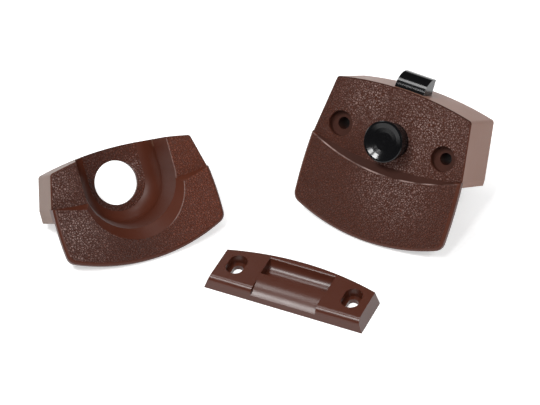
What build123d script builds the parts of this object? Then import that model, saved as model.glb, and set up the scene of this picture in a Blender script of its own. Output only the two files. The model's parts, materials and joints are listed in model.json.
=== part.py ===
from build123d import *
from math import atan2, cos, degrees, pi, radians, sin, sqrt, tan
import os

# Privacy latch for an interior door: an inner housing with a push button and a spring bolt,
# an outer housing with a thumb scoop, and a strike plate. The three lie on one surface, as
# they come out of the pack. All lengths are millimetres, Z is up, and the origin is on that
# surface, under the strike plate, midway between its two screw slots.
#
# Each housing is drawn flat in its own plate frame first: X across the plate, Y towards the
# bolt's end, Z out of the door, with the origin on the door's bore at the door's face.

# Plate, common to both housings
PLATE_WIDTH = 70.0
PLATE_TOP_INSET = 3.6
SIDE_BOW = 0.5
TOP_RISE = 3.5
WALL = 2.4
TOP_CORNER_RADIUS = 1.6
LIP_CORNER_RADIUS = 4.5
EDGE_BEVEL = 0.45
LIP_EDGE_BEVEL = 0.95
LIP_EDGE_SOFTENING = 0.3

# Inner housing
INNER_DEPTH = 27.0
INNER_FRONT_WALL = 2.8
INNER_TOP_Y = 18.5
INNER_KINK_Y = -6.6
INNER_BOX_CORNER_Y = -9.0
INNER_BOX_LOW_Y = -17.0
INNER_LIP_Y = -36.2
INNER_LIP_RISE = 7.4
INNER_LIP_PROUD = 1.7
INNER_LIP_THICKNESS = 3.1
INNER_STEP_SAG = (4.3, 8.0)

# Screw holes through the inner housing
SCREW_SPACING = 48.0
SCREW_HOLE_DIAMETER = 5.2
COUNTERBORE_DIAMETER = 10.9
COUNTERBORE_DEPTH = 3.6
SCREW_POST_WALL = 1.5

# Bolt
BOLT_WIDTH = 13.4
BOLT_THICKNESS = 9.3
BOLT_SETBACK = 3.2
BOLT_THROW = 6.8
BOLT_NOSE_BLOCK = 11.6
BOLT_TAIL_WIDTH = 26.0
BOLT_TAIL_THICKNESS = 3.4
BOLT_TAIL_SINK = 3.1
BOLT_SHOULDER_Y = 4.0
BOLT_TONGUE_WIDTH = 11.6
BOLT_BAR_FACE_Y = -3.5
BOLT_BAR_HEIGHT = 2.4
BOLT_BAR_Y = -7.3
BOLT_TIP_FLAT = 1.0
BOLT_STOP_GAP = 0.15
SLIDE_CLEARANCE = 0.12

# Push button and its rod
BUTTON_DIAMETER = 17.3
BUTTON_PROUD = 9.5
BUTTON_CAP_HEIGHT = 2.6
BUTTON_SKIRT_DIAMETER = 15.0
BUTTON_TRAVEL = 6.8
BUTTON_CLEARANCE = 0.15
BUTTON_FLANGE_DIAMETER = 18.6
BUTTON_FLANGE_THICKNESS = 1.8
BUTTON_DISH = 1.5
BUTTON_RIM = 0.9
BUTTON_EDGE_BEVEL = 0.3
DISH_STEPS = 4
ROD_DIAMETER = 6.0
ROD_TIP_PROUD = -0.8
ROD_TIP_CHAMFER = 0.6
ROD_SOCKET_DEPTH = 9.0
ROD_CLEARANCE = 0.06
CAM_WIDTH = 6.4
CAM_GAP = 0.1
CAM_HEAD = 2.0
CAM_SIDE_GAP = 0.3

# Back plate with its barrel
BACK_PLATE_THICKNESS = 2.2
BACK_PLATE_GAP = 0.15
BARREL_DIAMETER = 18.4
BARREL_LENGTH = 25.9
BARREL_WALL = 2.0
BARREL_END_WALL = 2.4
GUIDE_RAIL_WIDTH = 2.0
PLATE_SCREW_DIAMETER = 2.6
PLATE_SCREW_HEAD = 5.0
PLATE_SCREW_LENGTH = 9.0
PLATE_SCREW_HEAD_HEIGHT = 1.3
PLATE_SCREW_GAP = 0.05
PLATE_SCREW_SLOT_WIDTH = 0.9
PLATE_SCREW_INSET = (5.4, 5.3)
PLATE_SCREW_LOW = (15.5, 3.0)
PLATE_BOSS_WIDTH = 5.2

# Springs
BUTTON_SPRING_DIAMETER = 10.6
BUTTON_SPRING_WIRE = 0.9
BUTTON_SPRING_TURNS = 6
COIL_CORNERS = 10
WIRE_CORNERS = 4
ROD_COLLAR_DIAMETER = 11.6
ROD_COLLAR_THICKNESS = 1.6
ROD_COLLAR_DEPTH = 1.0
BOLT_SPRING_DIAMETER = 4.2
BOLT_SPRING_WIRE = 0.6
BOLT_SPRING_TURNS = 6
BOLT_SPRING_X = 8.7
BOLT_SPRING_SEAT_Y = -13.3
BOLT_SPRING_SEAT_DIAMETER = 5.2
SPRING_PEG_LENGTH = 3.0
SPRING_PEG_GAP = 0.2
SPRING_END_GAP = 0.05

# Outer housing
OUTER_DEPTH = 20.5
OUTER_TOP_Y = 11.3
OUTER_KINK_Y = -2.8
OUTER_BOX_CORNER_Y = -8.2
OUTER_LIP_Y = -25.8
OUTER_LIP_RISE = 7.9
OUTER_LIP_KINK_RISE = 2.4
OUTER_LIP_END_RISE = 6.8
OUTER_LIP_THICKNESS = 3.2
OUTER_STEP_SAG = (2.6, 5.4)
SCOOP_FLOOR = 2.0
SCOOP_FLOOR_RADIUS = 12.2
SCOOP_BEND_RADIUS = 17.4
SCOOP_BEND_Z = 10.0
SCOOP_FACE_RADIUS = 20.2
SCOOP_LIP_RADIUS = 23.6
SCOOP_SHIFT = 0.6
SCOOP_LIP_RISE = 4.0
SCOOP_OVERRUN = 8.0
SCOOP_BEND_SHARE = (0.72, 0.42)
SCOOP_WALL = 1.6
THUMB_HOLE_DIAMETER = 18.8
PILOT_POST_DIAMETER = 8.0
PILOT_HOLE_DIAMETER = 3.4
PILOT_HOLE_DEPTH = 15.0

# Strike plate
STRIKE_LENGTH = 70.1
STRIKE_WIDTH = 19.8
STRIKE_BOW = 5.6
STRIKE_HEIGHT = 6.0
STRIKE_END_DRAFT = 2.0
STRIKE_NEAR_DRAFT = 0.6
STRIKE_FAR_DRAFT = 1.3
STRIKE_EDGE_ROUND = 2.8
POCKET_LENGTH = 29.2
POCKET_NEAR_Y = 11.1
POCKET_WIDTH = 10.1
POCKET_FLOOR = 1.2
POCKET_RIM_ROUND = 0.9
STRIKE_SLOT_SPACING = 51.4
STRIKE_SLOT_Y = 12.1
STRIKE_SLOT_WIDTH = 7.6
STRIKE_SLOT_LENGTH = 11.6
STRIKE_SLOT_FLOOR = 2.0
STRIKE_HOLE_WIDTH = 4.2
STRIKE_HOLE_LENGTH = 7.6
RAMP_LENGTH = 28.6
RAMP_TOP_Y = 8.6
RAMP_END_HEIGHT = 2.5
RAMP_BULGE = 0.9

# Where the housings lie on the surface, and how far each piece is turned about Z
INNER_PLACE = (51.8, 72.1)
INNER_TURN = -29.65
OUTER_PLACE = (-75.4, 57.1)
OUTER_TURN = 24.5
STRIKE_TURN = -23.66

# How far a cutting solid runs past the faces it cuts
PAST = 1.0
BIG = 200.0

# Sides of the small pegs, posts and screws inside
SMALL_SIDES = 10


def resting_pose(place, turn, low_lip, rear_points):
    """A plate rests on its lip and on the first point behind it that touches, as (y, z)."""
    tilt = max(atan2(low_lip[1] - z, y - low_lip[0]) for y, z in rear_points)
    height = -(low_lip[0] * sin(tilt) + low_lip[1] * cos(tilt))
    return Pos(place[0], place[1], height) * Rot(0, 0, turn) * Rot(degrees(tilt), 0, 0)


def across(edges, x_size):
    """A profile drawn in (y, z), extruded equally to both sides of X = 0."""
    return extrude(Plane.YZ * make_face(edges), amount=x_size / 2, both=True)


def turned(edges):
    """A profile drawn in (radius, z), revolved about the Z axis."""
    return revolve(Plane.XZ * make_face(edges), Axis.Z)


def loop(*points):
    """Straight edges through the points and back to the first."""
    return Polyline(*points, close=True)


def box(x_range, y_range, z_range):
    size = [high - low for low, high in (x_range, y_range, z_range)]
    middle = [(high + low) / 2 for low, high in (x_range, y_range, z_range)]
    return Pos(*middle) * Box(*size)


def rod_z(diameter, z_low, z_high, x=0.0, y=0.0):
    return Pos(x, y, (z_low + z_high) / 2) * Cylinder(diameter / 2, z_high - z_low)


def prism_z(diameter, z_low, z_high, x=0.0, y=0.0):
    section = RegularPolygon(diameter / 2, SMALL_SIDES)
    return Pos(x, y, z_low) * extrude(section, amount=z_high - z_low)


def prism_y(diameter, y_low, y_high, x, z):
    section = RegularPolygon(diameter / 2, SMALL_SIDES)
    return Pos(x, y_high, z) * Rot(90, 0, 0) * extrude(section, amount=y_high - y_low)


def screw_xs():
    return (-SCREW_SPACING / 2, SCREW_SPACING / 2)


def plate_screw_places():
    """The back plate's screws: two near the top corners and two by the bottom wall."""
    high = (plate_top_width / 2 - PLATE_SCREW_INSET[0], INNER_TOP_Y - PLATE_SCREW_INSET[1])
    low = (PLATE_SCREW_LOW[0], INNER_KINK_Y - PLATE_SCREW_LOW[1])
    return [(side * x, y) for x, y in (high, low) for side in (-1, 1)]


def bowed_side(start, end):
    """A side of the plate, bowed outwards by SIDE_BOW."""
    middle_x = (start[0] + end[0]) / 2
    middle_y = (start[1] + end[1]) / 2
    outward = SIDE_BOW if middle_x > 0 else -SIDE_BOW
    return ThreePointArc(start, (middle_x + outward, middle_y), end)


def box_outline(top_y, kink_y, corner_y, low_y):
    """The closed box behind the upper part of the plate, with a bowed bottom wall."""
    top = plate_top_width / 2
    wide = PLATE_WIDTH / 2
    edges = [
        ThreePointArc((-top, top_y), (0, top_y + TOP_RISE), (top, top_y)),
        Line((top, top_y), (wide, kink_y)),
        Line((wide, kink_y), (wide, corner_y)),
        ThreePointArc((wide, corner_y), (0, low_y), (-wide, corner_y)),
        Line((-wide, corner_y), (-wide, kink_y)),
        Line((-wide, kink_y), (-top, top_y)),
    ]
    face = make_face(edges)
    by_height = face.vertices().sort_by(Axis.Y)
    return fillet(by_height[-2:], TOP_CORNER_RADIUS)


def rounded_box(outline, depth, kink_y):
    """The closed box, with the edge of its front taken off above the kinks."""
    shell = extrude(outline, amount=depth)
    front = shell.edges().group_by(Axis.Z)[-1]
    return chamfer([edge for edge in front if (edge @ 0.5).Y > kink_y], EDGE_BEVEL)


def lip_slab(drop, rise, thickness):
    """The flared lip: its front on z = 0, its upper side on y = 0, its outer edge taken off."""
    wide = PLATE_WIDTH / 2
    face = make_face([
        bowed_side((wide, 0), (wide, -drop)),
        ThreePointArc((wide, -drop), (0, -drop - rise), (-wide, -drop)),
        bowed_side((-wide, -drop), (-wide, 0)),
        Line((-wide, 0), (wide, 0)),
    ])
    face = fillet(face.vertices().sort_by(Axis.Y)[:2], LIP_CORNER_RADIUS)
    slab = Pos(0, 0, -thickness) * extrude(face, amount=thickness)
    for bevel in (LIP_EDGE_BEVEL, LIP_EDGE_SOFTENING):
        rim = [edge for edge in slab.edges().group_by(Axis.Z)[-1] if (edge @ 0.5).Y < -PAST]
        slab = chamfer(rim, bevel)
    return slab


def step_cutter(kink_y, face_z, rise, sags):
    """What clears the front above the lip: its wall leans out from one arc to a deeper one."""
    far = PLATE_WIDTH / 2 + PAST
    share = (rise + PAST) / rise

    def sheet(sag, z):
        return Pos(0, kink_y, z) * make_face([
            ThreePointArc((-far, 0), (0, -sag), (far, 0)),
            Polyline((far, 0), (far, BIG), (-far, BIG), (-far, 0)),
        ])

    high_sag = sags[0] + share * (sags[1] - sags[0])
    return loft([sheet(sags[0], face_z), sheet(high_sag, face_z + share * rise)], ruled=True)


def bend_points(grow):
    """Three points on the scoop's lower bend as (radius, z), grown outwards by a wall."""
    low = (SCOOP_FLOOR_RADIUS + grow, SCOOP_FLOOR - grow)
    high = (SCOOP_BEND_RADIUS + grow, SCOOP_BEND_Z)
    middle = (
        low[0] + SCOOP_BEND_SHARE[0] * (high[0] - low[0]),
        low[1] + SCOOP_BEND_SHARE[1] * (high[1] - low[1]),
    )
    return [low, middle, high]


def coil(diameter, wire, turns, length):
    """A compression spring along +Z from z = 0, its wire drawn as straight four-sided pieces."""
    centre = (diameter - wire) / 2
    steps = turns * COIL_CORNERS
    rings = []
    for step in range(steps + 1):
        angle = 2 * pi * step / COIL_CORNERS
        middle_z = wire / 2 + (length - wire) * step / steps
        ring = []
        for corner in range(WIRE_CORNERS):
            lean = 2 * pi * corner / WIRE_CORNERS
            radius = centre + wire / 2 * cos(lean)
            z = middle_z + wire / 2 * sin(lean)
            ring.append(Vector(radius * cos(angle), radius * sin(angle), z))
        rings.append(ring)
    faces = [Face(Wire.make_polygon(ring)) for ring in (rings[0], rings[-1])]
    for low, high in zip(rings, rings[1:]):
        for corner in range(WIRE_CORNERS):
            after = (corner + 1) % WIRE_CORNERS
            faces.append(Face(Wire.make_polygon([low[corner], low[after], high[after]])))
            faces.append(Face(Wire.make_polygon([low[corner], high[after], high[corner]])))
    return Solid(Shell(faces))


# Sizes that follow from the ones above
inner_low_y = INNER_LIP_Y - INNER_LIP_RISE
outer_low_y = OUTER_LIP_Y - OUTER_LIP_RISE
outer_box_low_y = -(SCOOP_FLOOR_RADIUS + SCOOP_WALL)
plate_top_width = PLATE_WIDTH - 2 * PLATE_TOP_INSET
inner_lip_under_z = INNER_DEPTH + INNER_LIP_PROUD - INNER_LIP_THICKNESS
lip_run = OUTER_KINK_Y - outer_low_y
lip_lean = atan2(OUTER_LIP_END_RISE - OUTER_LIP_KINK_RISE, lip_run)
outer_lip_low = (
    outer_low_y - OUTER_LIP_THICKNESS * sin(lip_lean),
    OUTER_DEPTH + OUTER_LIP_END_RISE - OUTER_LIP_THICKNESS * cos(lip_lean),
)
bolt_front_z = INNER_DEPTH - BOLT_SETBACK
bolt_back_z = bolt_front_z - BOLT_THICKNESS
tail_top_z = bolt_back_z + BOLT_TAIL_THICKNESS - BOLT_TAIL_SINK
tail_low_z = tail_top_z - BOLT_TAIL_THICKNESS
top_wall_y = INNER_TOP_Y + TOP_RISE
bolt_tip_y = top_wall_y + BOLT_THROW
nose_inner_y = bolt_tip_y - BOLT_NOSE_BLOCK
front_wall_z = INNER_DEPTH - INNER_FRONT_WALL
button_top_z = INNER_DEPTH + BUTTON_PROUD
flange_top_z = front_wall_z - BOLT_STOP_GAP
flange_low_z = flange_top_z - BUTTON_FLANGE_THICKNESS
barrel_floor_z = -BARREL_LENGTH + BARREL_END_WALL
rod_end_z = -BARREL_LENGTH - ROD_TIP_PROUD
collar_low_z = -ROD_COLLAR_DEPTH
tail_middle_z = (tail_low_z + tail_top_z) / 2
tail_side = BOLT_TAIL_WIDTH / plate_top_width
tail_front_y = top_wall_y - TOP_RISE * tail_side ** 2 - WALL - BOLT_STOP_GAP
screw_post_diameter = COUNTERBORE_DIAMETER + 2 * SCREW_POST_WALL

inner_pose = resting_pose(
    INNER_PLACE, INNER_TURN,
    (inner_low_y, inner_lip_under_z),
    [(-BARREL_DIAMETER / 2, -BARREL_LENGTH)],
)
outer_pose = resting_pose(
    OUTER_PLACE, OUTER_TURN,
    outer_lip_low,
    [(outer_box_low_y, 0.0)] + [(-radius, z) for radius, z in bend_points(SCOOP_WALL)],
)
strike_pose = Rot(0, 0, STRIKE_TURN) * Pos(0, -STRIKE_SLOT_Y, 0)


def inner_lip():
    """The inner housing's lip, with the cove above it cut out."""
    slab = lip_slab(INNER_KINK_Y - INNER_LIP_Y, INNER_LIP_RISE, INNER_LIP_THICKNESS)
    slab = Pos(0, INNER_KINK_Y, INNER_DEPTH + INNER_LIP_PROUD) * slab
    return slab - step_cutter(INNER_KINK_Y, INNER_DEPTH, INNER_LIP_PROUD, INNER_STEP_SAG)


def guide_ribs():
    """Two ribs under the front wall that hold the bolt's tail down on the rails."""
    rail_x = BOLT_TAIL_WIDTH / 2 - GUIDE_RAIL_WIDTH
    ribs = []
    for side in (-1, 1):
        x_range = sorted((side * rail_x, side * (rail_x + GUIDE_RAIL_WIDTH)))
        y_range = (BOLT_SHOULDER_Y - BOLT_THROW, INNER_TOP_Y)
        ribs.append(box(x_range, y_range, (tail_top_z + SLIDE_CLEARANCE, INNER_DEPTH)))
    return ribs


def spring_seats():
    """A pad and a peg on the bottom wall for each bolt spring."""
    peg = BOLT_SPRING_DIAMETER - 2 * BOLT_SPRING_WIRE - 2 * SPRING_PEG_GAP
    seats = []
    for side in (-1, 1):
        x = side * BOLT_SPRING_X
        seats.append(prism_y(BOLT_SPRING_SEAT_DIAMETER, INNER_BOX_LOW_Y, BOLT_SPRING_SEAT_Y, x, tail_middle_z))
        seats.append(prism_y(peg, INNER_BOX_LOW_Y, BOLT_SPRING_SEAT_Y + SPRING_PEG_LENGTH, x, tail_middle_z))
    return seats


def inner_housing():
    """The moulded box and lip, with everything that is moulded inside it."""
    outline = box_outline(INNER_TOP_Y, INNER_KINK_Y, INNER_BOX_CORNER_Y, INNER_BOX_LOW_Y)
    shell = rounded_box(outline, INNER_DEPTH, INNER_KINK_Y)
    cavity = extrude(offset(outline, -WALL), amount=front_wall_z)
    inside = guide_ribs() + spring_seats()
    boss = PLATE_BOSS_WIDTH / 2
    for x in screw_xs():
        inside.append(rod_z(screw_post_diameter, 0, INNER_DEPTH, x))
    for x, y in plate_screw_places():
        inside.append(box((x - boss, x + boss), (y - boss, y + boss), (BACK_PLATE_THICKNESS, INNER_DEPTH)))
    body = shell - cavity + [shell & piece for piece in inside] + inner_lip()
    above = INNER_DEPTH + PAST
    for x in screw_xs():
        body -= rod_z(SCREW_HOLE_DIAMETER, -PAST, above, x)
        body -= rod_z(COUNTERBORE_DIAMETER, INNER_DEPTH - COUNTERBORE_DEPTH, above, x)
    for x, y in plate_screw_places():
        body -= prism_z(PLATE_SCREW_DIAMETER + 2 * PLATE_SCREW_GAP, 0, PLATE_SCREW_LENGTH + PAST, x, y)
    body -= rod_z(BUTTON_SKIRT_DIAMETER + 2 * BUTTON_CLEARANCE, front_wall_z - PAST, above)
    half = BOLT_WIDTH / 2 + SLIDE_CLEARANCE
    body -= box(
        (-half, half),
        (INNER_TOP_Y - 2 * WALL, top_wall_y + PAST),
        (bolt_back_z - SLIDE_CLEARANCE, bolt_front_z + SLIDE_CLEARANCE),
    )
    return body


def back_plate():
    """The cover inside the box's open back, the barrel behind it and the bolt's rails."""
    outline = box_outline(INNER_TOP_Y, INNER_KINK_Y, INNER_BOX_CORNER_Y, INNER_BOX_LOW_Y)
    plate = extrude(offset(outline, -WALL - BACK_PLATE_GAP), amount=BACK_PLATE_THICKNESS)
    for x in screw_xs():
        plate -= rod_z(screw_post_diameter + 2 * BACK_PLATE_GAP, -PAST, BACK_PLATE_THICKNESS + PAST, x)
    plate += rod_z(BARREL_DIAMETER, -BARREL_LENGTH, BACK_PLATE_THICKNESS)
    plate -= rod_z(BARREL_DIAMETER - 2 * BARREL_WALL, barrel_floor_z, BACK_PLATE_THICKNESS + PAST)
    plate -= rod_z(ROD_DIAMETER + 2 * ROD_CLEARANCE, -BARREL_LENGTH - PAST, 0)
    rail_x = BOLT_TAIL_WIDTH / 2 - GUIDE_RAIL_WIDTH
    for side in (-1, 1):
        x_range = sorted((side * rail_x, side * (rail_x + GUIDE_RAIL_WIDTH)))
        y_range = (BOLT_SHOULDER_Y - BOLT_THROW, tail_front_y)
        plate += box(x_range, y_range, (0, tail_low_z - SLIDE_CLEARANCE))
    for x, y in plate_screw_places():
        plate -= prism_z(PLATE_SCREW_DIAMETER + 2 * PLATE_SCREW_GAP, -PAST, BACK_PLATE_THICKNESS + PAST, x, y)
        plate -= prism_z(PLATE_SCREW_HEAD + 2 * PLATE_SCREW_GAP, -PAST, PLATE_SCREW_HEAD_HEIGHT + PLATE_SCREW_GAP, x, y)
    return plate


def back_plate_screw(x, y):
    """A small slotted screw, its head flush with the door's face."""
    reach = PLATE_SCREW_HEAD / 2 + PAST
    blade = PLATE_SCREW_SLOT_WIDTH / 2
    head = prism_z(PLATE_SCREW_HEAD, 0, PLATE_SCREW_HEAD_HEIGHT)
    shank = prism_z(PLATE_SCREW_DIAMETER, 0, PLATE_SCREW_LENGTH)
    slot = box((-reach, reach), (-blade, blade), (-PAST, PLATE_SCREW_HEAD_HEIGHT / 2))
    return Pos(x, y, 0) * (head + shank - slot)


def push_button():
    """A dished cap on a narrower skirt, with the flange inside the box that keeps it in."""
    rim = BUTTON_DIAMETER / 2
    skirt = BUTTON_SKIRT_DIAMETER / 2
    flange = BUTTON_FLANGE_DIAMETER / 2
    socket = ROD_DIAMETER / 2
    dish = rim - BUTTON_RIM
    dish_radius = (dish ** 2 + BUTTON_DISH ** 2) / (2 * BUTTON_DISH)
    dish_low_z = button_top_z - BUTTON_DISH
    dish_points = []
    for step in range(DISH_STEPS, 0, -1):
        x = dish * step / DISH_STEPS
        dish_points.append((x, dish_low_z + dish_radius - sqrt(dish_radius ** 2 - x ** 2)))
    cap_low_z = button_top_z - BUTTON_CAP_HEIGHT
    socket_z = flange_low_z + ROD_SOCKET_DEPTH
    bevel = BUTTON_EDGE_BEVEL
    return turned(loop(
        (0, dish_low_z), (0, socket_z), (socket, socket_z), (socket, flange_low_z),
        (flange, flange_low_z), (flange, flange_top_z),
        (skirt, flange_top_z), (skirt, cap_low_z), (rim, cap_low_z),
        (rim, button_top_z - bevel), (rim - bevel, button_top_z), *dish_points,
    ))


def plunger_rod():
    """The button's rod, with the cam that draws the bolt back and the return spring's collar."""
    ramp_y = BOLT_BAR_FACE_Y + CAM_GAP * sqrt(2)
    far_y = ramp_y - BUTTON_TRAVEL - CAM_GAP
    far_z = tail_low_z + ramp_y - far_y
    cam = across(loop((0, tail_low_z), (ramp_y, tail_low_z), (far_y, far_z),
                      (far_y, far_z + CAM_HEAD), (0, far_z + CAM_HEAD)), CAM_WIDTH)
    rod = rod_z(ROD_DIAMETER, rod_end_z, flange_low_z + ROD_SOCKET_DEPTH)
    rod = chamfer(rod.edges().filter_by(GeomType.CIRCLE).sort_by(Axis.Z)[0], ROD_TIP_CHAMFER)
    collar = rod_z(ROD_COLLAR_DIAMETER, collar_low_z, collar_low_z + ROD_COLLAR_THICKNESS)
    return rod + cam + collar


def latch_bolt():
    """A nose with a quarter-round face on a flat tail, whose cross bar the cam pushes."""
    start_y = bolt_tip_y - BOLT_THROW
    centre = (start_y, bolt_back_z + BOLT_TIP_FLAT)
    arc = EllipticalCenterArc(centre, BOLT_THROW, BOLT_THICKNESS - BOLT_TIP_FLAT, arc_size=90)
    nose = across([
        arc,
        Polyline(arc @ 1, (nose_inner_y, bolt_front_z), (nose_inner_y, bolt_back_z),
                 (bolt_tip_y, bolt_back_z), arc @ 0),
    ], BOLT_WIDTH)
    half = BOLT_TAIL_WIDTH / 2
    tongue = BOLT_TONGUE_WIDTH / 2
    levels = (tail_low_z, tail_top_z)
    tail = box((-half, half), (BOLT_SHOULDER_Y, tail_front_y), levels)
    tail += box((-tongue, tongue), (BOLT_BAR_Y, BOLT_SHOULDER_Y), levels)
    neck = BOLT_WIDTH / 2
    tail += box((-neck, neck), (nose_inner_y, tail_front_y), (tail_low_z, bolt_front_z))
    window = CAM_WIDTH / 2 + CAM_SIDE_GAP
    bar_top = tail_low_z + BOLT_BAR_HEIGHT
    window_end = ROD_DIAMETER / 2 + BOLT_THROW + CAM_SIDE_GAP
    tail -= across(loop(
        (BOLT_BAR_FACE_Y, tail_low_z),
        (BOLT_BAR_FACE_Y - BOLT_BAR_HEIGHT, bar_top),
        (BOLT_BAR_Y - PAST, bar_top),
        (BOLT_BAR_Y - PAST, tail_top_z + PAST),
        (window_end, tail_top_z + PAST),
        (window_end, tail_low_z - PAST),
        (BOLT_BAR_FACE_Y, tail_low_z - PAST),
    ), 2 * window)
    peg = BOLT_SPRING_DIAMETER - 2 * BOLT_SPRING_WIRE - 2 * SPRING_PEG_GAP
    for side in (-1, 1):
        tail += prism_y(peg, BOLT_SHOULDER_Y - SPRING_PEG_LENGTH, BOLT_SHOULDER_Y,
                        side * BOLT_SPRING_X, tail_middle_z)
    return nose + tail


def button_spring():
    low = barrel_floor_z + SPRING_END_GAP
    length = collar_low_z - SPRING_END_GAP - low
    return Pos(0, 0, low) * coil(BUTTON_SPRING_DIAMETER, BUTTON_SPRING_WIRE, BUTTON_SPRING_TURNS, length)


def bolt_spring(side):
    low = BOLT_SPRING_SEAT_Y + SPRING_END_GAP
    length = BOLT_SHOULDER_Y - SPRING_END_GAP - low
    spring = coil(BOLT_SPRING_DIAMETER, BOLT_SPRING_WIRE, BOLT_SPRING_TURNS, length)
    return Pos(side * BOLT_SPRING_X, low, tail_middle_z) * Rot(-90, 0, 0) * spring


def scoop_profile(grow, bend):
    """Half of the scoop's section as (radius, z), grown outwards by a wall."""
    floor_z = SCOOP_FLOOR - grow
    face = (SCOOP_FACE_RADIUS + grow, OUTER_DEPTH)
    lip = (SCOOP_LIP_RADIUS + grow, OUTER_DEPTH + SCOOP_LIP_RISE)
    slope = (SCOOP_LIP_RADIUS - SCOOP_FACE_RADIUS) / SCOOP_LIP_RISE
    top = (lip[0] + slope * SCOOP_OVERRUN, lip[1] + SCOOP_OVERRUN)
    return [
        Line((0, floor_z), bend @ 0),
        bend,
        Polyline(bend @ 1, face, lip, top, (0, top[1]), (0, floor_z)),
    ]


def scoop_form(edges, reach):
    """The scoop as a solid: a bowl round the thumb hole that runs out through the top edge."""
    half = Plane.XZ * make_face(edges)
    channel = extrude(half, amount=-reach)
    return Pos(SCOOP_SHIFT, 0, 0) * (turned(edges) + channel + mirror(channel, Plane.YZ))


def outer_lip(outline, bowl):
    """The lip on its sloping plane, with what joins it to the box and the bowl behind it."""
    level_z = OUTER_DEPTH + OUTER_LIP_KINK_RISE
    frame = Pos(0, OUTER_KINK_Y, level_z) * Rot(-degrees(lip_lean), 0, 0)
    drop = (OUTER_KINK_Y - OUTER_LIP_Y) / cos(lip_lean)
    slab = frame * lip_slab(drop, OUTER_LIP_RISE / cos(lip_lean), OUTER_LIP_THICKNESS)
    under = frame * box((-BIG, BIG), (-BIG, 0), (-BIG, -OUTER_LIP_THICKNESS / 2))
    column = extrude(outline, amount=level_z)
    lip = slab + (column & under) + (bowl & under)
    return lip - step_cutter(OUTER_KINK_Y, OUTER_DEPTH, OUTER_LIP_KINK_RISE, OUTER_STEP_SAG)


def outer_housing():
    """The moulded box and lip with the thumb scoop, cored out from behind."""
    outline = box_outline(OUTER_TOP_Y, OUTER_KINK_Y, OUTER_BOX_CORNER_Y, outer_box_low_y)
    shell = rounded_box(outline, OUTER_DEPTH, OUTER_KINK_Y)
    reach = OUTER_TOP_Y + TOP_RISE + SCOOP_FACE_RADIUS
    bowl = scoop_form(scoop_profile(SCOOP_WALL, Polyline(*bend_points(SCOOP_WALL))), reach)
    cavity = extrude(offset(outline, -WALL), amount=OUTER_DEPTH - WALL) - bowl
    posts = [shell & prism_z(PILOT_POST_DIAMETER, 0, OUTER_DEPTH, x) for x in screw_xs()]
    body = shell + outer_lip(outline, bowl) - cavity + posts
    body -= scoop_form(scoop_profile(0, ThreePointArc(*bend_points(0))), reach)
    body -= rod_z(THUMB_HOLE_DIAMETER, -PAST, SCOOP_FLOOR + PAST)
    for x in screw_xs():
        body -= rod_z(PILOT_HOLE_DIAMETER, 0, PILOT_HOLE_DEPTH, x)
    return body


def strike_blank():
    """The drafted bar: straight in front with a rounded shoulder, bowed at the back."""
    half = STRIKE_LENGTH / 2
    back_y = STRIKE_WIDTH + STRIKE_BOW
    section = make_face(loop((0, 0), (STRIKE_NEAR_DRAFT, STRIKE_HEIGHT), (back_y, STRIKE_HEIGHT), (back_y, 0)))
    shoulder = section.vertices().group_by(Axis.Y)[-1].sort_by(Axis.X)[0]
    bar = extrude(Plane.YZ * fillet(shoulder, STRIKE_EDGE_ROUND), amount=half, both=True)
    ends = make_face(loop(
        (-half, 0), (half, 0),
        (half - STRIKE_END_DRAFT, STRIKE_HEIGHT), (STRIKE_END_DRAFT - half, STRIKE_HEIGHT),
    ))
    bow_radius = (half ** 2 + STRIKE_BOW ** 2) / (2 * STRIKE_BOW)
    bow = Cone(bow_radius, bow_radius - STRIKE_FAR_DRAFT, STRIKE_HEIGHT)
    bow = Pos(0, back_y - bow_radius, STRIKE_HEIGHT / 2) * bow
    return bar & extrude(Plane.XZ * ends, amount=-back_y) & bow


def obround(width, length, x, y, z_low, z_high):
    """A slot whose long way is across the strike."""
    shape = Rot(0, 0, 90) * SlotOverall(length, width)
    return Pos(x, y, z_low) * extrude(shape, amount=z_high - z_low)


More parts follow.
